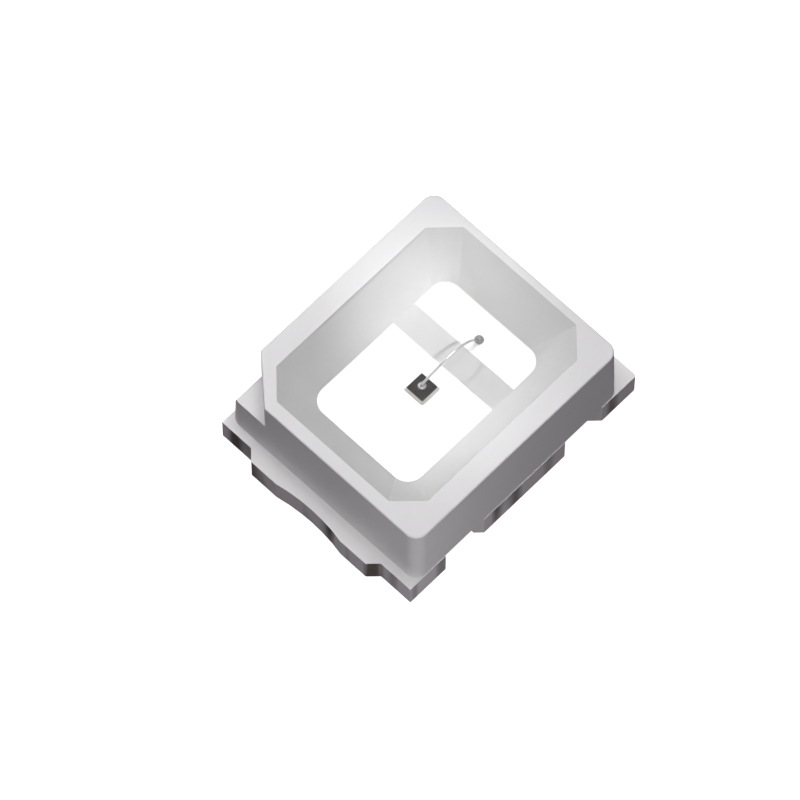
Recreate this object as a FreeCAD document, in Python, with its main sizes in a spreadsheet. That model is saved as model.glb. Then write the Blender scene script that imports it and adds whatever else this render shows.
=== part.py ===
"""Top-view surface-mount LED: a moulded reflector cup on a two-piece lead frame, with chip, wire and resin.

Frame: +Z up, origin at the middle of the underside. X runs along the package, cathode end at -X and anode
end at +X. The solder pads lie on Z = 0.
"""

import FreeCAD, Part
import math
import os
import Sketcher

doc = FreeCAD.newDocument("smd_led")

SIZES = [
    ("body_length", 3.135, "foot of the moulded body along X"),
    ("body_width", 2.78, "foot of the moulded body along Y"),
    ("body_draft", 0.02, "how far its sides lean in by the rim"),
    ("body_rise", 0.975, "moulded body above the lead tabs"),
    ("body_corner", 0.15, "radius of the body's upright corners"),
    ("rim_edge", 0.02, "radius along the top outer edge"),
    ("base_setback", 0.20, "moulding between the leads, back from the long sides"),
    ("base_end_setback", 0.30, "moulding between the leads, back from the ends"),
    ("base_lift", 0.03, "moulding clear of the board"),
    ("cathode_rim", 0.15, "rim width at the cathode end"),
    ("anode_rim", 0.098, "rim width at the anode end"),
    ("side_rim", 0.254, "rim width at the long sides"),
    ("mouth_chamfer", 0.29, "corner cut of the cup's mouth"),
    ("cup_run", 0.38, "how far the cup's wall leans in by the floor"),
    ("floor_corner", 0.20, "corner radius of the cup's floor"),
    ("notch_along", 0.46, "cathode mark, along the long side"),
    ("notch_across", 0.508, "cathode mark, along the end"),
    ("notch_depth", 0.42, "cathode mark, depth of its ledge"),
    ("notch_bevel", 0.10, "bevel of the ledge's edge at the long side"),
    ("notch_fall", 0.31, "height of that bevel"),
    ("notch_overrun", 0.05, "how far the mark's space runs past the faces"),
    ("lead_gauge", 0.34, "thickness of the lead tabs"),
    ("island_rise", 0.295, "extra thickness of the frame under the cup"),
    ("island_lap", 0.12, "how far the islands run under the cup's wall"),
    ("island_corner", 0.10, "corner radius of the islands"),
    ("gap_place", 0.255, "edge of the cathode island, from the middle"),
    ("gap_width", 0.33, "insulating gap between the two leads"),
    ("cathode_reach", 0.215, "cathode tongue, out of the end face"),
    ("anode_reach", 0.245, "anode tongue, out of the end face"),
    ("tab_reach", 0.10, "cathode corner tabs, out of the end face"),
    ("tab_length", 0.44, "cathode corner tabs, along the long side"),
    ("tongue_width", 1.70, "cathode tongue, and the anode's inner tongue"),
    ("scallop_radius", 2.30, "shallow solder recess in each end"),
    ("scallop_depth", 0.05, "its depth"),
    ("plate_width", 2.00, "cathode plate under the cup"),
    ("wing_start", 0.95, "side wing, from the cathode end face"),
    ("wing_clear", 0.383, "from the side wing's end to the anode tab"),
    ("wing_proud", 0.01, "side wings and corner tabs, out of the long side"),
    ("wing_bar", 0.28, "width of the side wing past the plate"),
    ("wing_chamfer", 0.08, "corner cut of the side wings"),
    ("anode_tab", 0.40, "anode corner tabs, along the long side"),
    ("anode_chamfer", 0.12, "inner corner cut of the anode tabs"),
    ("anode_corner", 0.02, "outer corner cut of the anode tabs"),
    ("etch_width", 0.12, "half-etched step under the leads' inner edges"),
    ("etch_depth", 0.14, "its height"),
    ("chip_side", 0.235, "LED chip, square"),
    ("chip_height", 0.09, "LED chip, height"),
    ("mesa_step", 0.012, "etched step round the chip's top"),
    ("mesa_height", 0.02, "its height"),
    ("chip_place", -0.093, "chip's middle along X"),
    ("bond_line", -0.03, "chip's middle across Y"),
    ("glue_under", 0.015, "silver glue under the chip"),
    ("glue_climb", 0.05, "silver glue up the chip's sides"),
    ("glue_spread", 0.025, "silver glue round the chip's foot"),
    ("glue_lip", 0.006, "silver glue round the chip at its crest"),
    ("wire_radius", 0.015, "bond wire"),
    ("ball_radius", 0.05, "pressed ball on the chip"),
    ("ball_height", 0.045, "its height"),
    ("ball_round", 0.018, "radius round its rim"),
    ("neck_height", 0.02, "taper from the ball to the wire"),
    ("neck_foot", 0.024, "radius of the taper's foot"),
    ("bump_share", 0.353, "place of the second bond on the anode island, as a share of what shows"),
    ("wire_shoulder", 0.06, "radius of the loop's first bend"),
    ("wire_crest", 0.30, "radius of the loop's second bend"),
    ("wire_slope", 23.0, "degrees, the loop's long rise"),
    ("wire_dive", 62.0, "degrees, the loop's last fall"),
    ("wire_skew", -2.4, "degrees, the wire's turn from the package's long axis"),
    ("stitch_lift", 0.012, "wire's end above the anode island"),
    ("bump_radius", 0.052, "bump that holds the stitch"),
    ("bump_foot", 0.045, "radius of its foot"),
    ("bump_height", 0.05, "its height"),
    ("bump_waist", 0.0175, "height of its widest place"),
    ("bump_flat", 0.016, "radius of its flat top"),
    ("fill_sag", 0.04, "clear fill, lowest point under the rim"),
    ("fill_hollow", 36.0, "radius of the fill's hollow top"),
]

sheet = doc.addObject("Spreadsheet::Sheet", "Sizes")
for row, (alias, value, note) in enumerate(SIZES, 1):
    sheet.set(f"A{row}", note)
    sheet.set(f"B{row}", str(value))
    sheet.setAlias(f"B{row}", alias)
doc.recompute()


class Size:
    """A measure with its value and the expression it comes from, so that a sketch can be bound to it."""

    def __init__(self, value, text):
        self.value = value
        self.text = text

    def joined(self, sign, other, value):
        text = other.text if isinstance(other, Size) else str(other)
        return Size(value, f"({self.text} {sign} {text})")

    def __add__(self, other):
        return self.joined("+", other, self.value + number(other))

    def __sub__(self, other):
        return self.joined("-", other, self.value - number(other))

    def __mul__(self, other):
        return self.joined("*", other, self.value * number(other))

    def __truediv__(self, other):
        return self.joined("/", other, self.value / number(other))

    def __neg__(self):
        return Size(-self.value, f"(0 - {self.text})")


def number(measure):
    """The plain value of a measure or a number."""
    return measure.value if isinstance(measure, Size) else measure


def size(alias):
    return Size(float(sheet.get(alias)), f"Sizes.{alias}")


zero = Size(0.0, "0")

# Places that several pieces share
half_length = (size("body_length") + size("cathode_reach") + size("anode_reach")) / 2
cathode_face = size("cathode_reach") - half_length
anode_face = half_length - size("anode_reach")
half_width = size("body_width") / 2
lead_side = half_width + size("wing_proud")
rim_start = cathode_face + size("body_draft")
rim_end = anode_face - size("body_draft")
rim_half = half_width - size("body_draft")
top = size("lead_gauge") + size("body_rise")
floor_level = size("lead_gauge") + size("island_rise")
mouth = (rim_start + size("cathode_rim"), rim_end - size("anode_rim"), rim_half - size("side_rim"))
floor = (mouth[0] + size("cup_run"), mouth[1] - size("cup_run"), mouth[2] - size("cup_run"))
gap_start = size("gap_place")
gap_end = gap_start + size("gap_width")
chip_foot = floor_level + size("glue_under")
chip_top = chip_foot + size("chip_height")
chip_x = size("chip_place")
bond_y = size("bond_line")
skew = math.radians(size("wire_skew").value)
skew_cos = Size(math.cos(skew), "cos(Sizes.wire_skew * 1 deg)")
skew_tan = Size(math.tan(skew), "tan(Sizes.wire_skew * 1 deg)")
bump_x = gap_end + (floor[1] - gap_end) * size("bump_share")
bump_y = bond_y + (bump_x - chip_x) * skew_tan


def new_body(name):
    body = doc.addObject("PartDesign::Body", name)
    body.Label = name
    return body


def new_sketch(body, name, role="XY_Plane", base=(zero, zero, zero)):
    """A sketch on one of the body's own planes, moved by base in the plane's own directions."""
    sketch = body.newObject("Sketcher::SketchObject", name)
    plane = [p for p in body.Origin.OriginFeatures if p.Role == role][0]
    sketch.AttachmentSupport = [(plane, "")]
    sketch.MapMode = "FlatFace"
    spot = FreeCAD.Vector(*[measure.value for measure in base])
    sketch.AttachmentOffset = FreeCAD.Placement(spot, FreeCAD.Rotation())
    for axis, measure in zip("xyz", base):
        sketch.setExpression(f".AttachmentOffset.Base.{axis}", measure.text)
    return sketch


def tie(sketch, kind, *where):
    """Adds a constraint whose last value is a Size, bound to the sheet."""
    measure = where[-1]
    index = sketch.addConstraint(Sketcher.Constraint(kind, *where[:-1], measure.value))
    sketch.setExpression(f"Constraints[{index}]", measure.text)


def pin(sketch, geometry, point, x, y):
    """Holds one point of the sketch at x, y from its origin."""
    tie(sketch, "DistanceX", -1, 1, geometry, point, x)
    tie(sketch, "DistanceY", -1, 1, geometry, point, y)


def polygon(sketch, corners):
    """A closed outline with every corner bound."""
    spots = [FreeCAD.Vector(x.value, y.value, 0) for x, y in corners]
    first = sketch.GeometryCount
    for i, spot in enumerate(spots):
        sketch.addGeometry(Part.LineSegment(spot, spots[(i + 1) % len(spots)]), False)
    for i, (x, y) in enumerate(corners):
        after = first + (i + 1) % len(corners)
        sketch.addConstraint(Sketcher.Constraint("Coincident", first + i, 2, after, 1))
        pin(sketch, first + i, 1, x, y)


def rounded_box(sketch, x0, x1, half, radius):
    """A rectangle from x0 to x1, half to each side, with round corners."""
    quarter = math.pi / 2
    centres = [
        (x1 - radius, half - radius),
        (x0 + radius, half - radius),
        (x0 + radius, radius - half),
        (x1 - radius, radius - half),
    ]
    arcs = []
    for turn, (x, y) in enumerate(centres):
        circle = Part.Circle(FreeCAD.Vector(x.value, y.value, 0), FreeCAD.Vector(0, 0, 1), radius.value)
        arcs.append(Part.ArcOfCircle(circle, turn * quarter, (turn + 1) * quarter))
    for turn, arc in enumerate(arcs):
        sketch.addGeometry(arc, False)
        sketch.addGeometry(Part.LineSegment(arc.EndPoint, arcs[(turn + 1) % 4].StartPoint), False)
    for turn, (x, y) in enumerate(centres):
        sketch.addConstraint(Sketcher.Constraint("Tangent", 2 * turn, 2, 2 * turn + 1, 1))
        sketch.addConstraint(Sketcher.Constraint("Tangent", 2 * turn + 1, 2, (2 * turn + 2) % 8, 1))
        pin(sketch, 2 * turn, 3, x, y)
        tie(sketch, "Radius", 2 * turn, radius)


def pad(body, sketch, name, length, kind="PartDesign::Pad", back=False):
    feature = body.newObject(kind, name)
    feature.Profile = sketch
    feature.Reversed = back
    feature.setExpression("Length", length.text)
    return feature


def grown(body, before, what, more):
    """Stops where a feature took away or added nothing."""
    doc.recompute()
    change = body.Shape.Volume - before
    if (change > 0) != more or abs(change) < 1e-7:
        raise SystemExit(f"{what} changed the volume by {change}")
    return body.Shape.Volume


def edge_names(feature, test):
    return [f"Edge{i}" for i, edge in enumerate(feature.Shape.Edges, 1) if test(edge)]


def face_names(feature, test):
    return [f"Face{i}" for i, face in enumerate(feature.Shape.Faces, 1) if test(face)]


def upright(edge):
    ends = [v.Point for v in edge.Vertexes]
    return len(ends) == 2 and math.hypot(ends[0].x - ends[1].x, ends[0].y - ends[1].y) < 1e-6


def mirrored(points):
    """An outline drawn for +Y, closed by its mirror image."""
    return points + [(x, -y) for x, y in reversed(points)]


# Cup: the space inside the reflector, the same for the moulding and for the fill

def cup_loft(body, kind):
    """The cup from its cut-cornered mouth to its round-cornered floor."""
    x0, x1, half = mouth
    cut = size("mouth_chamfer")
    mouth_sketch = new_sketch(body, body.Name + "_mouth", base=(zero, zero, top))
    polygon(mouth_sketch, [
        (x1, half - cut), (x1 - cut, half), (x0 + cut, half), (x0, half - cut),
        (x0, cut - half), (x0 + cut, -half), (x1 - cut, -half), (x1, cut - half),
    ])
    floor_sketch = new_sketch(body, body.Name + "_floor", base=(zero, zero, floor_level))
    rounded_box(floor_sketch, *floor, size("floor_corner"))
    loft = body.newObject(kind, body.Name + "_cup")
    loft.Profile = mouth_sketch
    loft.Sections = [floor_sketch]
    loft.Ruled = True
    return loft


# Cathode lead: the larger half of the frame, stamped and etched from dual-gauge copper strip, silver
# plated. It carries the chip, ends in a tongue and two corner tabs, and has a wing to each long side.

def cathode_lead():
    body = new_body("cathode_lead")
    plate = size("plate_width") / 2
    tongue = size("tongue_width") / 2
    tab_end = cathode_face - size("tab_reach")
    wing_x0 = cathode_face + size("wing_start")
    wing_x1 = anode_face - size("anode_tab") - size("wing_clear")
    wing_root = lead_side - size("wing_bar")
    cut = size("wing_chamfer")
    outline = new_sketch(body, "cathode_outline")
    polygon(outline, mirrored([
        (-half_length, tongue),
        (tab_end, tongue + size("cathode_reach") - size("tab_reach")),
        (tab_end, lead_side),
        (cathode_face + size("tab_length"), lead_side),
        (cathode_face + size("tab_length"), plate),
        (wing_x0, plate),
        (wing_x0, lead_side - cut),
        (wing_x0 + cut, lead_side),
        (wing_x1 - cut, lead_side),
        (wing_x1, lead_side - cut),
        (wing_x1, wing_root),
        (gap_start, wing_root),
    ]))
    pad(body, outline, "cathode_plate", size("lead_gauge"))
    island = new_sketch(body, "cathode_island_outline", base=(zero, zero, size("lead_gauge")))
    lap = size("island_lap")
    rounded_box(island, floor[0] - lap, gap_start, floor[2] + lap, size("island_corner"))
    pad(body, island, "cathode_island", size("island_rise"))
    doc.recompute()
    volume = body.Shape.Volume
    etch = new_sketch(body, "cathode_etch_outline")
    polygon(etch, mirrored([(gap_start - size("etch_width"), wing_root), (gap_start, wing_root)]))
    pad(body, etch, "cathode_etch", size("etch_depth"), "PartDesign::Pocket", True)
    volume = grown(body, volume, "cathode etch", False)
    scallop(body, "cathode_scallop", size("scallop_depth") - half_length - size("scallop_radius"))
    grown(body, volume, "cathode scallop", False)
    return body


def scallop(body, name, centre):
    """The shallow hollow where the tie bar was cut, through the tab's full thickness."""
    sketch = new_sketch(body, name + "_outline")
    sketch.addGeometry(Part.Circle(FreeCAD.Vector(centre.value, 0, 0), FreeCAD.Vector(0, 0, 1),
                                   size("scallop_radius").value), False)
    pin(sketch, 0, 3, centre, zero)
    tie(sketch, "Radius", 0, size("scallop_radius"))
    pad(body, sketch, name, size("lead_gauge"), "PartDesign::Pocket", True)


# Anode lead: the smaller half of the frame. Its inner tongue lies between the cathode's wings and takes
# the wire.

def anode_lead():
    body = new_body("anode_lead")
    tongue = size("tongue_width") / 2
    tab_start = anode_face - size("anode_tab")
    inner = size("anode_chamfer")
    outer = size("anode_corner")
    outline = new_sketch(body, "anode_outline")
    polygon(outline, mirrored([
        (gap_end, tongue),
        (tab_start, tongue),
        (tab_start, lead_side - inner),
        (tab_start + inner, lead_side),
        (half_length - outer, lead_side),
        (half_length, lead_side - outer),
    ]))
    pad(body, outline, "anode_plate", size("lead_gauge"))
    island = new_sketch(body, "anode_island_outline", base=(zero, zero, size("lead_gauge")))
    lap = size("island_lap")
    rounded_box(island, gap_end, floor[1] + lap, floor[2] + lap, size("island_corner"))
    pad(body, island, "anode_island", size("island_rise"))
    doc.recompute()
    volume = body.Shape.Volume
    etch = new_sketch(body, "anode_etch_outline")
    polygon(etch, mirrored([(gap_end, tongue), (gap_end + size("etch_width"), tongue)]))
    pad(body, etch, "anode_etch", size("etch_depth"), "PartDesign::Pocket", True)
    volume = grown(body, volume, "anode etch", False)
    scallop(body, "anode_scallop", half_length + size("scallop_radius") - size("scallop_depth"))
    grown(body, volume, "anode scallop", False)
    return body


# Housing: white reflector moulded round the lead frame in one shot, so its seats are the leads' own
# shapes.

def housing(leads):
    body = new_body("moulding")
    foot = new_sketch(body, "foot_outline", base=(zero, zero, size("lead_gauge")))
    polygon(foot, mirrored([(cathode_face, half_width), (anode_face, half_width)]))
    block = pad(body, foot, "block", size("body_rise"))
    doc.recompute()
    draft = body.newObject("PartDesign::Draft", "draft")
    draft.Base = (block, face_names(block, lambda face: face.BoundBox.ZLength > 1e-6))
    draft.NeutralPlane = (block, face_names(block, lambda face: face.BoundBox.ZMax < top.value - 1e-6))
    draft.setExpression("Angle", "atan(Sizes.body_draft / Sizes.body_rise)")
    grown(body, block.Shape.Volume, "draft", False)
    base = new_sketch(body, "base_outline", base=(zero, zero, size("base_lift")))
    inset = size("base_end_setback")
    base_half = half_width - size("base_setback")
    polygon(base, mirrored([(cathode_face + inset, base_half), (anode_face - inset, base_half)]))
    pad(body, base, "base", size("lead_gauge") - size("base_lift"))
    doc.recompute()
    volume = rounded(body, body.Shape.Volume, "corners", block_corner, size("body_corner"))
    mark = body.newObject("PartDesign::Boolean", "mark")
    mark.Type = "Cut"
    mark.setObjects([mark_space()])
    volume = grown(body, volume, "cathode mark", False)
    volume = rounded(body, volume, "rim_edge", rim_edge, size("rim_edge"))
    cup_loft(body, "PartDesign::SubtractiveLoft")
    grown(body, volume, "cup", False)
    frame = doc.addObject("Part::MultiFuse", "lead_frame")
    frame.Shapes = leads
    cut = doc.addObject("Part::Cut", "housing")
    cut.Base = body
    cut.Tool = frame
    cut.Label = "housing"
    return cut


def rounded(body, volume, name, test, radius):
    """Rounds the edges of the body's last feature that pass the test."""
    last = body.Tip
    fillet = body.newObject("PartDesign::Fillet", name)
    fillet.Base = (last, edge_names(last, test))
    fillet.setExpression("Radius", radius.text)
    return grown(body, volume, name, False)


def mark_space():
    """What the cathode corner leaves out: over a ledge with a bevelled edge, up to a slanted wall."""
    body = new_body("mark_space")
    along, across = size("notch_along"), size("notch_across")
    past = size("notch_overrun")
    past_across = past * across / along
    ledge_level = top - size("notch_depth")
    low = ledge_level - size("notch_fall")
    x0, y0 = rim_start - past, rim_half - across - past_across
    x1, y1 = rim_start + along + past, rim_half + past_across
    corner = new_sketch(body, "mark_outline", base=(zero, zero, low))
    polygon(corner, [(x0, y0), (x1, y1), (x0, y1)])
    pad(body, corner, "mark_corner", top - low)
    doc.recompute()
    volume = body.Shape.Volume
    ledge = new_sketch(body, "ledge_outline", "YZ_Plane", (zero, zero, x0))
    polygon(ledge, [
        (y0, low), (half_width, low), (half_width - size("notch_bevel"), ledge_level), (y0, ledge_level),
    ])
    pad(body, ledge, "ledge", x1 - x0, "PartDesign::Pocket", True)
    grown(body, volume, "ledge", False)
    return body


def block_corner(edge):
    """One of the block's four corner edges, the only ones of its full height."""
    return edge.BoundBox.ZLength > size("body_rise").value - 1e-6


def rim_edge(edge):
    """An edge round the block's top face."""
    return edge.BoundBox.ZMin > top.value - 1e-6


# LED chip: a sawn cube of semiconductor with an etched step round its top, stuck down with silver glue.

def led_chip():
    body = new_body("led_chip")
    half = size("chip_side") / 2
    inner = half - size("mesa_step")
    lower = new_sketch(body, "chip_outline", base=(chip_x, bond_y, chip_foot))
    polygon(lower, mirrored([(-half, half), (half, half)]))
    pad(body, lower, "chip_block", size("chip_height") - size("mesa_height"))
    upper = new_sketch(body, "mesa_outline", base=(chip_x, bond_y, chip_top - size("mesa_height")))
    polygon(upper, mirrored([(-inner, inner), (inner, inner)]))
    pad(body, upper, "mesa", size("mesa_height"))
    return body


def die_attach(chip):
    body = new_body("glue_bead")
    half = size("chip_side") / 2
    low = half + size("glue_spread")
    foot = new_sketch(body, "glue_foot", base=(chip_x, bond_y, floor_level))
    rounded_box(foot, -low, low, low, size("glue_spread"))
    rise = size("glue_under") + size("glue_climb")
    crest = new_sketch(body, "glue_crest", base=(chip_x, bond_y, floor_level + rise))
    lip = half + size("glue_lip")
    rounded_box(crest, -lip, lip, lip, size("glue_lip"))
    loft = body.newObject("PartDesign::AdditiveLoft", "glue_loft")
    loft.Profile = foot
    loft.Sections = [crest]
    loft.Ruled = True
    cut = doc.addObject("Part::Cut", "die_attach")
    cut.Base = body
    cut.Tool = chip
    cut.Label = "die_attach"
    return cut


# Bond wire: one fine wire, its ball pressed on the chip and its far end stitched to the anode under a bump.

def bond_wire():
    body = new_body("bond_wire")
    thin, ball, high = size("wire_radius"), size("ball_radius"), size("ball_height")
    neck = size("neck_height")
    start = chip_top + high + neck
    profile = new_sketch(body, "ball_outline", "XZ_Plane", (chip_x, chip_top, -bond_y))
    polygon(profile, [
        (zero, zero), (ball, zero), (ball, high),
        (size("neck_foot"), high), (thin, high + neck), (zero, high + neck),
    ])
    turned = body.newObject("PartDesign::Revolution", "ball")
    turned.Profile = profile
    turned.ReferenceAxis = (profile, ["V_Axis"])
    turned.Angle = 360
    doc.recompute()
    rounded(body, body.Shape.Volume, "ball_rim", widest_circle, size("ball_round"))
    path = new_sketch(body, "loop_path", "XZ_Plane", (chip_x, start, -bond_y))
    turn = FreeCAD.Rotation(FreeCAD.Vector(0, 1, 0), math.degrees(skew))
    path.AttachmentOffset = FreeCAD.Placement(path.AttachmentOffset.Base, turn)
    path.setExpression(".AttachmentOffset.Rotation.Angle", "Sizes.wire_skew * 1 deg")
    loop_path(path, (bump_x - chip_x) / skew_cos, floor_level + size("stitch_lift") - start)
    section = new_sketch(body, "wire_section", base=(chip_x, bond_y, start))
    section.addGeometry(Part.Circle(FreeCAD.Vector(0, 0, 0), FreeCAD.Vector(0, 0, 1), thin.value), False)
    section.addConstraint(Sketcher.Constraint("Coincident", 0, 3, -1, 1))
    tie(section, "Radius", 0, thin)
    pipe = body.newObject("PartDesign::AdditivePipe", "loop")
    pipe.Profile = section
    pipe.Spine = (path, [f"Edge{i + 1}" for i in range(path.GeometryCount)])
    return body


def widest_circle(edge):
    """One of the two circles round the ball's widest place."""
    return edge.BoundBox.XLength > 2 * size("ball_radius").value - 1e-6


def loop_path(sketch, span, drop):
    """From straight up, over a shoulder into a long rise, over the crest and down to the stitch."""
    shoulder, crest = size("wire_shoulder"), size("wire_crest")
    rise = math.radians(size("wire_slope").value)
    dive = math.radians(size("wire_dive").value)
    r1, r2 = shoulder.value, crest.value
    after_shoulder = FreeCAD.Vector(r1 * (1 - math.sin(rise)), r1 * math.cos(rise), 0)
    into = FreeCAD.Vector(r2 * math.sin(rise), -r2 * math.cos(rise), 0)
    out = FreeCAD.Vector(r2 * math.sin(dive), r2 * math.cos(dive), 0)
    left = FreeCAD.Vector(span.value, drop.value, 0) - after_shoulder - into - out
    turn = math.sin(rise + dive)
    run = (left.x * math.sin(dive) + left.y * math.cos(dive)) / turn
    before_crest = after_shoulder + FreeCAD.Vector(math.cos(rise), math.sin(rise), 0) * run
    centre = before_crest + into
    end = FreeCAD.Vector(span.value, drop.value, 0)
    up = FreeCAD.Vector(0, 0, 1)
    first = Part.ArcOfCircle(Part.Circle(FreeCAD.Vector(r1, 0, 0), up, r1), math.pi / 2 + rise, math.pi)
    second = Part.ArcOfCircle(Part.Circle(centre, up, r2), math.pi / 2 - dive, math.pi / 2 + rise)
    sketch.addGeometry(first, False)
    sketch.addGeometry(Part.LineSegment(after_shoulder, before_crest), False)
    sketch.addGeometry(second, False)
    sketch.addGeometry(Part.LineSegment(centre + out, end), False)
    sketch.addConstraint(Sketcher.Constraint("Tangent", 0, 1, 1, 1))
    sketch.addConstraint(Sketcher.Constraint("Tangent", 1, 2, 2, 2))
    sketch.addConstraint(Sketcher.Constraint("Tangent", 2, 1, 3, 1))
    sketch.addConstraint(Sketcher.Constraint("Coincident", 0, 2, -1, 1))
    sketch.addConstraint(Sketcher.Constraint("PointOnObject", 0, 3, -1))
    tie(sketch, "Radius", 0, shoulder)
    tie(sketch, "Radius", 2, crest)
    pin(sketch, 3, 2, span, drop)
    for line, alias, sign in ((1, "wire_slope", 1), (3, "wire_dive", -1)):
        angle = rise if sign > 0 else -dive
        index = sketch.addConstraint(Sketcher.Constraint("Angle", line, angle))
        sketch.setExpression(f"Constraints[{index}]", f"{sign} * Sizes.{alias} * 1 deg")


def wire_bump(wire):
    body = new_body("bump_ball")
    wide, high = size("bump_radius"), size("bump_height")
    profile = new_sketch(body, "bump_outline", "XZ_Plane", (bump_x, floor_level, -bump_y))
    polygon(profile, [
        (zero, zero), (size("bump_foot"), zero), (wide, size("bump_waist")),
        (size("bump_flat"), high), (zero, high),
    ])
    turned = body.newObject("PartDesign::Revolution", "bump")
    turned.Profile = profile
    turned.ReferenceAxis = (profile, ["V_Axis"])
    turned.Angle = 360
    cut = doc.addObject("Part::Cut", "wire_bump")
    cut.Base = body
    cut.Tool = wire
    cut.Label = "wire_bump"
    return cut


# Encapsulant: clear resin dispensed into the cup over the chip and wire, its cured top slightly hollow.

def encapsulant(inside):
    body = new_body("fill")
    cup_loft(body, "PartDesign::AdditiveLoft")
    ball = doc.addObject("Part::Sphere", "hollow")
    ball.setExpression("Radius", "Sizes.fill_hollow")
    ball.setExpression("Placement.Base.z", (top + size("fill_hollow") - size("fill_sag")).text)
    contents = doc.addObject("Part::MultiFuse", "contents")
    contents.Shapes = inside
    dished = doc.addObject("Part::Cut", "dished_fill")
    dished.Base = body
    dished.Tool = ball
    cut = doc.addObject("Part::Cut", "encapsulant")
    cut.Base = dished
    cut.Tool = contents
    cut.Label = "encapsulant"
    return cut


cathode = cathode_lead()
anode = anode_lead()
chip = led_chip()
glue = die_attach(chip)
wire = bond_wire()
bump = wire_bump(wire)
pieces = [housing([cathode, anode]), cathode, anode, chip, glue, wire, bump]
doc.recompute()
pieces.append(encapsulant([chip, glue, wire, bump]))
doc.recompute()

for item in doc.Objects:
    if "Invalid" in item.State or "Error" in item.State:
        raise SystemExit(f"{item.Name} failed: {item.State}")
for piece in pieces:
    shape = piece.Shape
    if shape.isNull() or not shape.isValid() or len(shape.Solids) != 1:
        raise SystemExit(f"{piece.Label} has no single valid solid: {len(shape.Solids)}")
os.makedirs("parts", exist_ok=True)
for piece in pieces:
    piece.Shape.exportStep(f"parts/{piece.Label}.step")
    box = piece.Shape.BoundBox
    print(f"{piece.Label}: {piece.Shape.Volume:.5f} mm3, X {box.XMin:.3f} {box.XMax:.3f}, "
          f"Y {box.YMin:.3f} {box.YMax:.3f}, Z {box.ZMin:.3f} {box.ZMax:.3f}")
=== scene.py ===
"""Surface-mount LED on a white table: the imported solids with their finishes, the resin fill, light and camera.

+X runs from the cathode end to the anode end and +Z is up, out of the cup. Lengths are in metres.
"""
import math

import bmesh
import bpy
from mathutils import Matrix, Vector


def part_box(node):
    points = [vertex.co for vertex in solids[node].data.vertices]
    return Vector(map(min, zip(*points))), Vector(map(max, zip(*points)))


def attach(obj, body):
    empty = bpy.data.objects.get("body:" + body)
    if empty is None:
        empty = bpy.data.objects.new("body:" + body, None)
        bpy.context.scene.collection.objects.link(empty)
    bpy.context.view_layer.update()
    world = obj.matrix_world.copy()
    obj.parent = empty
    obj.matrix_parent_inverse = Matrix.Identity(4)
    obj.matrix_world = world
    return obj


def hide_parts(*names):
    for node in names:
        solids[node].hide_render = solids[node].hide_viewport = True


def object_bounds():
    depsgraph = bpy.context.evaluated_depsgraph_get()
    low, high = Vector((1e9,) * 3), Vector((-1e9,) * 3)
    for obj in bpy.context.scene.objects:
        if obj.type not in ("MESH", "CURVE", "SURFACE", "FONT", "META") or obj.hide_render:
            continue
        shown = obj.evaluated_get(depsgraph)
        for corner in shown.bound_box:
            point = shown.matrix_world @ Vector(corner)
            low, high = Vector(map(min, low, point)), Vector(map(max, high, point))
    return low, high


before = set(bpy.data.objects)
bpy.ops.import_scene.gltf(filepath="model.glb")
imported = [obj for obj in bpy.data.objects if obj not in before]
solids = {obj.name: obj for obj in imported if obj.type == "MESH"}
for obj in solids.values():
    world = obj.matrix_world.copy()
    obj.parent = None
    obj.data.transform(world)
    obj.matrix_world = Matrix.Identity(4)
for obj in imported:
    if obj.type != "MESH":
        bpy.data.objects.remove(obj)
cad_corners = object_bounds()
MM = 0.001


# Lead frame. Two flat leads stamped from copper alloy strip, thick under the cup and thinner in the tabs,
# plated with silver all over. The moulding holds them, and their undersides are the solder pads.
def linear(code):
    """A hex sRGB colour as linear red, green, blue and alpha."""
    shares = [int(code[i:i + 2], 16) / 255 for i in (1, 3, 5)]
    return [s / 12.92 if s <= 0.04045 else ((s + 0.055) / 1.055) ** 2.4 for s in shares] + [1]


def add(tree, kind, inputs=None, **settings):
    """Adds a shader node. An input is a value or the socket that feeds it; settings are its other properties."""
    node = tree.nodes.new("ShaderNode" + kind)
    for name, value in settings.items():
        setattr(node, name, value)
    for name, value in (inputs or {}).items():
        if isinstance(value, bpy.types.NodeSocket):
            tree.links.new(value, node.inputs[name])
        else:
            node.inputs[name].default_value = value
    return node


def material(name, build):
    """A material whose surface is the shader that build makes in its node tree."""
    made = bpy.data.materials.new(name)
    made.use_nodes = True
    tree = made.node_tree
    tree.nodes.clear()
    place = add(tree, "TexCoord").outputs["Object"]
    add(tree, "OutputMaterial", {"Surface": build(tree, place).outputs[0]})
    return made


def dress(name, finish):
    """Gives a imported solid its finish."""
    solids[name].data.materials.clear()
    solids[name].data.materials.append(finish)


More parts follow.
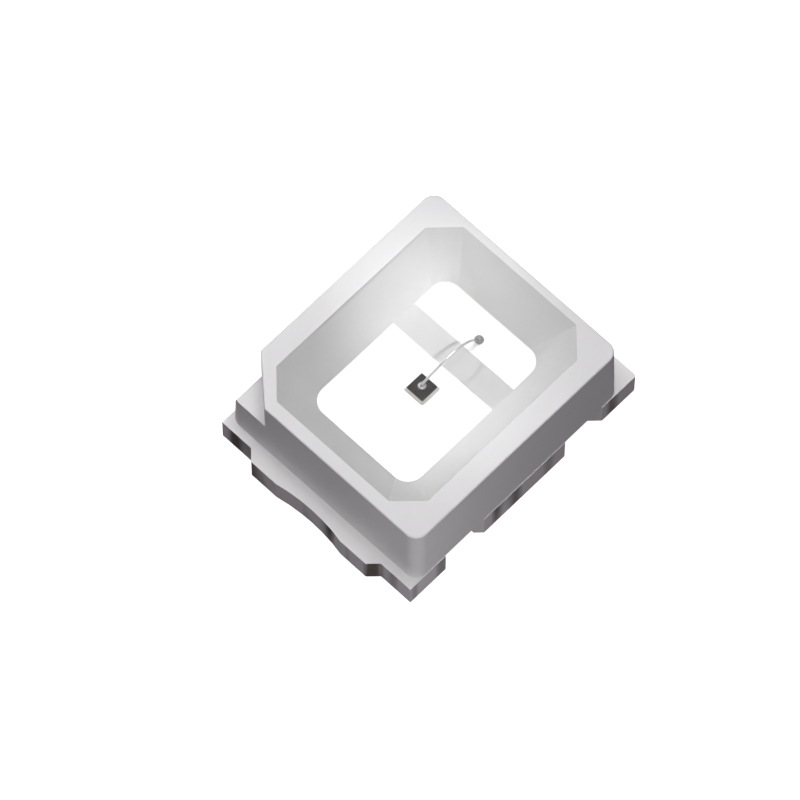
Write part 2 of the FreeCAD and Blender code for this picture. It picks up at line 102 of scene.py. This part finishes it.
def spot_silver(tree, place):
    """Silver plate over rolled strip: bright in the cup, dulled outside it, with painted shade on the cut edges.

    The rolling lines run along X. The upright edges are painted darker than the tops, in upright dark and light
    stripes of painted shade and painted reflection. W picks where they fall.
    """
    line_long, line_wide, line_deep = 0.45 * MM, 0.018 * MM, 0.002 * MM
    patch, shade_stripe_wide, shade_stripe_high = 0.25 * MM, 0.33 * MM, 2.5 * MM
    cup_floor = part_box("cathode_lead")[1].z
    along = add(tree, "Mapping", {"Vector": place, "Scale": (1 / line_long, 1 / line_wide, 1 / line_wide)})
    lines = add(tree, "TexNoise", {"Vector": along.outputs[0], "Scale": 1, "Detail": 3})
    clouds = add(tree, "TexNoise", {"Vector": place, "Scale": 1 / patch, "Detail": 2})
    height = add(tree, "SeparateXYZ", {0: place}).outputs["Z"]
    in_cup = add(tree, "MapRange", {"Value": height, "From Min": 0.9 * cup_floor, "From Max": 0.95 * cup_floor})
    bright = add(tree, "Mix", {0: clouds.outputs[0], 6: linear("#FAFAF8"), 7: linear("#F0F0EE")},
                 data_type="RGBA")
    dull = add(tree, "Mix", {0: clouds.outputs[0], 6: linear("#FBFAFA"), 7: linear("#F4F3F3")},
               data_type="RGBA")
    # Painted shade and painted reflection: the upright cut edges get dark and light upright stripes that stand in
    # for their shading.
    shade_stripe_space = add(tree, "Mapping", {"Vector": place, "Scale": (1 / shade_stripe_wide, 1 / shade_stripe_wide, 1 / shade_stripe_high)})
    shade_stripe_noise = add(tree, "TexNoise", {"Vector": shade_stripe_space.outputs[0], "W": 9, "Scale": 1, "Detail": 1},
                  noise_dimensions="4D")
    painted_shade_mask = add(tree, "MapRange", {"Value": shade_stripe_noise.outputs[0], "From Min": 0.36, "From Max": 0.53})
    painted_edge_shade = add(tree, "Mix", {0: painted_shade_mask.outputs[0], 6: linear("#60564F"), 7: linear("#E4E0E2")},
                  data_type="RGBA")
    upward = add(tree, "SeparateXYZ", {0: add(tree, "NewGeometry").outputs["True Normal"]}).outputs["Z"]
    level = add(tree, "Math", {0: upward}, operation="ABSOLUTE")
    # Upright faces take the painted shade stripes, and level faces take the dull silver.
    outside = add(tree, "Mix", {0: level.outputs[0], 6: painted_edge_shade.outputs[2], 7: dull.outputs[2]}, data_type="RGBA")
    colour = add(tree, "Mix", {0: in_cup.outputs[0], 6: outside.outputs[2], 7: bright.outputs[2]},
                 data_type="RGBA")
    sheen = add(tree, "MapRange", {"Value": lines.outputs[0], "To Min": 0.26, "To Max": 0.40})
    blur = add(tree, "MapRange", {"Value": in_cup.outputs[0], "To Min": 0.5, "To Max": sheen.outputs[0]})
    shine = add(tree, "MapRange", {"Value": in_cup.outputs[0], "To Min": 0.1, "To Max": 1})
    relief = add(tree, "Bump", {"Height": lines.outputs[0], "Strength": 0.25, "Distance": line_deep})
    return add(tree, "BsdfPrincipled", {
        "Base Color": colour.outputs[2], "Metallic": shine.outputs[0], "Roughness": blur.outputs[0],
        "Normal": relief.outputs[0]})


silver_plate = material("silver_plate", spot_silver)
for name in ("cathode_lead", "anode_lead"):
    dress(name, silver_plate)


# Housing. The white reflector, injection moulded round the lead frame from glass-filled polyphthalamide with
# white pigment, in a spark-eroded tool: matt, opaque and neutral white.
def moulded_plastic(tree, place):
    """Matt white polyphthalamide. The grain is 6 micrometres on the real part, drawn coarser so that it shows."""
    grain, grain_deep, flow = 0.022 * MM, 0.002 * MM, 0.5 * MM
    spark = add(tree, "TexNoise", {"Vector": place, "Scale": 1 / grain, "Detail": 2, "Roughness": 0.6})
    swirls = add(tree, "TexNoise", {"Vector": place, "Scale": 1 / flow, "Detail": 3})
    colour = add(tree, "Mix", {0: swirls.outputs[0], 6: linear("#EFEFEF"), 7: linear("#E8E8E8")},
                 data_type="RGBA")
    blur = add(tree, "MapRange", {"Value": spark.outputs[0], "To Min": 0.5, "To Max": 0.66})
    relief = add(tree, "Bump", {"Height": spark.outputs[0], "Strength": 0.3, "Distance": grain_deep})
    return add(tree, "BsdfPrincipled", {
        "Base Color": colour.outputs[2], "Roughness": blur.outputs[0], "IOR": 1.57,
        "Normal": relief.outputs[0]})


dress("housing", material("white_polyphthalamide", moulded_plastic))


# Die attach. A thin bed of silver-filled epoxy between the chip and the large lead, squeezed out into a small
# fillet round the chip and cured.
def silver_epoxy(tree, place):
    """Silver-filled epoxy: light grey and dull, with flakes that catch the light."""
    flake = 0.008 * MM
    flakes = add(tree, "TexVoronoi", {"Vector": place, "Scale": 1 / flake})
    colour = add(tree, "Mix", {0: flakes.outputs["Distance"], 6: linear("#FAFAF8"), 7: linear("#E6E6E2")},
                 data_type="RGBA")
    return add(tree, "BsdfPrincipled", {
        "Base Color": colour.outputs[2], "Metallic": 0.4, "Roughness": 0.5})


dress("die_attach", material("silver_epoxy", silver_epoxy))


# Chip. A sawn square of light-emitting semiconductor, its top etched down along the saw lanes. It is nearly
# black when unlit, with smooth sides.
def bare_semiconductor(tree, place):
    """Sawn and etched gallium phosphide: dark brown-grey, with a soft sheen and fine saw lines on its sides."""
    line_long, line_wide = 0.048 * MM, 0.006 * MM
    along = add(tree, "Mapping", {"Vector": place, "Scale": (1 / line_long, 1 / line_long, 1 / line_wide)})
    saw = add(tree, "TexNoise", {"Vector": along.outputs[0], "Scale": 1, "Detail": 2})
    colour = add(tree, "Mix", {0: saw.outputs[0], 6: linear("#1E1A17"), 7: linear("#2A2521")},
                 data_type="RGBA")
    blur = add(tree, "MapRange", {"Value": saw.outputs[0], "To Min": 0.3, "To Max": 0.5})
    return add(tree, "BsdfPrincipled", {
        "Base Color": colour.outputs[2], "Roughness": blur.outputs[0], "IOR": 1.25})


dress("led_chip", material("bare_semiconductor", bare_semiconductor))


# Bond wire and stud. Drawn silver alloy wire, welded to the chip as a flattened ball and to a stud on the
# small lead as a pressed stitch.
def drawn_wire(tree, place):
    """Drawn silver alloy: light grey metal, a little blurred, and duller in the melted ball and the stud."""
    grain = 0.02 * MM
    ball_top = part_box("led_chip")[1].z + 0.05 * MM
    mottle = add(tree, "TexNoise", {"Vector": place, "Scale": 1 / grain, "Detail": 2})
    drawn = add(tree, "Mix", {0: mottle.outputs[0], 6: linear("#F4F4F6"), 7: linear("#E4E4E8")},
                data_type="RGBA")
    height = add(tree, "SeparateXYZ", {0: place}).outputs["Z"]
    above = add(tree, "MapRange", {"Value": height, "From Min": ball_top, "From Max": ball_top + grain})
    colour = add(tree, "Mix", {0: above.outputs[0], 6: linear("#ACA9AC"), 7: drawn.outputs[2]},
                 data_type="RGBA")
    return add(tree, "BsdfPrincipled", {"Base Color": colour.outputs[2], "Metallic": 1, "Roughness": 0.35})


bond_silver = material("bond_silver", drawn_wire)
for name in ("bond_wire", "wire_bump"):
    dress(name, bond_silver)


# Resin. Clear silicone, poured into the cup over the chip and wire and cured. Its top sinks a little in the
# middle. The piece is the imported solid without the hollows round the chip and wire, which lie in it instead.
def clear_silicone(tree, place):
    """Clear silicone: bends the view of the chip, and lets lamp light through to it."""
    clear = add(tree, "BsdfPrincipled", {
        "Base Color": linear("#FAFAFA"), "Roughness": 0.02, "IOR": 1.45, "Transmission Weight": 1})
    through = add(tree, "BsdfTransparent", {"Color": linear("#FFFFFF")})
    ray = add(tree, "LightPath").outputs["Is Shadow Ray"]
    return add(tree, "MixShader", {0: ray, 1: clear.outputs[0], 2: through.outputs[0]})


def resin_fill():
    """The fill as one closed skin, set a hair into the walls and floor so that no two faces lie together.

    Its top is a shallow bowl, built in rings from the mouth of the cup to the middle.
    """
    bite = 0.02 * MM
    rings = 14
    bowl_radius, bowl_deep = 36 * MM, 0.04 * MM
    bowl_bottom = cad_corners[1].z - bowl_deep
    low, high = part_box("encapsulant")
    held = [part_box(name) for name in ("led_chip", "die_attach", "bond_wire", "wire_bump")]
    held_low = Vector(min(corners[0][i] for corners in held) for i in range(3)) - Vector((bite, bite, bite))
    held_high = Vector(max(corners[1][i] for corners in held) for i in range(3)) + Vector((bite, bite, bite))
    skin = bmesh.new()
    skin.from_mesh(solids["encapsulant"].data)
    bmesh.ops.remove_doubles(skin, verts=skin.verts, dist=1e-8)
    hollows = [v for v in skin.verts if all(held_low[i] < v.co[i] < held_high[i] for i in range(3))]
    bmesh.ops.delete(skin, geom=hollows, context="VERTS")
    flat = [f for f in skin.faces if abs(f.normal.z) > 0.99]
    bmesh.ops.delete(skin, geom=flat, context="FACES")
    middle = (low + high) / 2
    reach = (high - low) / 2
    mouth = [v for v in skin.verts if v.is_boundary and v.co.z > middle.z]
    bmesh.ops.edgeloop_fill(skin, edges=[e for e in skin.edges if e.is_boundary and e.verts[0].co.z < middle.z])
    for v in skin.verts:
        v.co.x += bite * (v.co.x - middle.x) / reach.x
        v.co.y += bite * (v.co.y - middle.y) / reach.y
        if v.co.z < low.z + bite:
            v.co.z -= bite
    mouth.sort(key=lambda v: math.atan2(v.co.y - middle.y, v.co.x - middle.x))
    outer = mouth
    for ring in range(1, rings):
        share = 1 - ring / rings
        spots = [(middle.x + (v.co.x - middle.x) * share, middle.y + (v.co.y - middle.y) * share) for v in mouth]
        inner = [skin.verts.new((x, y, bowl_bottom + bowl_radius - math.sqrt(bowl_radius ** 2 - x * x - y * y)))
                 for x, y in spots]
        for i in range(len(mouth)):
            skin.faces.new((outer[i - 1], outer[i], inner[i], inner[i - 1])).smooth = True
        outer = inner
    skin.faces.new(outer).smooth = True
    bmesh.ops.recalc_face_normals(skin, faces=skin.faces)
    # The bowl's rim stays a crisp edge.
    for edge in skin.edges:
        edge.smooth = edge.verts[0] not in mouth or edge.verts[1] not in mouth
    mesh = bpy.data.meshes.new("resin_fill")
    skin.to_mesh(mesh)
    skin.free()
    fill = bpy.data.objects.new("resin_fill", mesh)
    bpy.context.scene.collection.objects.link(fill)
    return fill


resin = resin_fill()
resin.data.materials.append(material("clear_silicone", clear_silicone))
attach(resin, "root")
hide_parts("encapsulant")


# Table. A plain sheet of smooth white paper under the solder pads. It is lit through from below, so that it
# stays white and shows no shadow.
def white_sheet(tree, place):
    """Smooth white paper on a light table."""
    return add(tree, "BsdfPrincipled", {
        "Base Color": linear("#F2F2F2"), "Roughness": 0.8,
        "Emission Color": linear("#FFFFFF"), "Emission Strength": 0.97})


def table(side):
    """A square sheet at the height of the solder pads."""
    sheet = bmesh.new()
    bmesh.ops.create_grid(sheet, x_segments=1, y_segments=1, size=side / 2)
    mesh = bpy.data.meshes.new("table")
    sheet.to_mesh(mesh)
    sheet.free()
    top = bpy.data.objects.new("table", mesh)
    bpy.context.scene.collection.objects.link(top)
    return top


floor = table(side=0.4)
floor.data.materials.append(material("white_sheet", white_sheet))
floor.visible_diffuse = False
floor.visible_glossy = False
floor.visible_shadow = False


# Light. A soft box over the part that leaves no glints, a wide dim one that gloss mirrors instead, a low one by
# the near corner, one from the far side for the ledge, a spot on each long wall of the cup and one on the
# anode's corner tab, and dim violet-grey surroundings.
world = bpy.data.worlds.new("studio")
world.use_nodes = True
world.node_tree.nodes["Background"].inputs["Color"].default_value = linear("#807A80")
world.node_tree.nodes["Background"].inputs["Strength"].default_value = 0.6
bpy.context.scene.world = world


def hang(lamp, place, towards, glints=True):
    """Hangs a lamp at a place in millimetres and turns it towards another. The camera doesn't see it.

    Without glints, gloss and metal don't mirror it either.
    """
    holder = bpy.data.objects.new(lamp.name, lamp)
    holder.location = Vector(place) * MM
    holder.rotation_mode = "QUATERNION"
    holder.rotation_quaternion = (Vector(towards) - Vector(place)).to_track_quat("-Z", "Y")
    holder.visible_camera = False
    holder.visible_glossy = glints
    bpy.context.scene.collection.objects.link(holder)


def soft_box(name, place, towards, side, radiance, glints=True):
    """A square lamp of that brightness. Its power follows from its area."""
    lamp = bpy.data.lights.new(name, "AREA")
    lamp.size = side * MM
    lamp.energy = radiance * math.pi * lamp.size ** 2
    hang(lamp, place, towards, glints)


def spot(name, place, towards, width, light):
    """A soft-edged spot whose beam is that wide where it lands, with that light in its middle."""
    bulb = 0.5 * MM
    lamp = bpy.data.lights.new(name, "SPOT")
    reach = (Vector(towards) - Vector(place)).length
    lamp.spot_size = 2 * math.atan(width / 2 / reach)
    lamp.spot_blend = 1
    lamp.shadow_soft_size = bulb
    lamp.energy = light * 4 * math.pi * (reach * MM) ** 2
    hang(lamp, place, towards)


soft_box("overhead", (-1, -0.7, 14), (0, 0, 0), 5, 7.2, glints=False)
soft_box("mirrored", (2, 2, 14), (0, 0, 0), 13, 1.3)
soft_box("near_corner", (-3.7, -4.3, 0.9), (-1.5, -1.3, 0.8), 1.5, 5.8)
soft_box("far_side", (-1.6, 9, 5), (-1.6, 0, 0.5), 3, 6.5)
spot("on_far_wall", (0.4, -5, 12), (0.6, 0.65, 0.9), 2.3, 1.5)
spot("on_near_wall", (0, 7, 11), (-0.05, -0.75, 0.9), 2.3, 0.9)
spot("on_anode_tab", (6, -2.2, 9), (1.85, -1.3, 0.34), 0.9, 1)


# Camera. It looks down at 65 degrees from the near corner, between the cathode end and the long side, with a
# long lens. The middle of the rim lies right of and above the picture's centre.
AZIMUTH, ELEVATION = math.radians(-46.33), math.radians(65.03)
DISTANCE = 80 * MM
PIXELS_PER_MM = 94.6
RIM_MIDDLE_PIXEL = (424.9, 364.5)
FRAME_PIXELS = 800

back = Vector((math.sin(AZIMUTH) * math.cos(ELEVATION), -math.cos(AZIMUTH) * math.cos(ELEVATION),
               math.sin(ELEVATION)))
right = Vector((math.cos(AZIMUTH), math.sin(AZIMUTH), 0))
up = back.cross(right)
body_low, body_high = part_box("housing")
rim_middle = Vector(((body_low.x + body_high.x) / 2, 0, body_high.z))
across = (RIM_MIDDLE_PIXEL[0] - FRAME_PIXELS / 2) / PIXELS_PER_MM * MM
above = (FRAME_PIXELS / 2 - RIM_MIDDLE_PIXEL[1]) / PIXELS_PER_MM * MM
camera = bpy.data.objects.new("camera", bpy.data.cameras.new("camera"))
camera.data.lens = camera.data.sensor_width * PIXELS_PER_MM * (DISTANCE / MM) / FRAME_PIXELS
camera.data.clip_start, camera.data.clip_end = DISTANCE / 100, DISTANCE * 100
camera.location = rim_middle + back * DISTANCE
aim = rim_middle - right * across - up * above
camera.rotation_mode = "QUATERNION"
camera.rotation_quaternion = (aim - camera.location).to_track_quat("-Z", "Y")
bpy.context.scene.collection.objects.link(camera)
bpy.context.scene.camera = camera
bpy.context.scene.view_settings.view_transform = "Standard"
bpy.context.scene.cycles.caustics_refractive = False
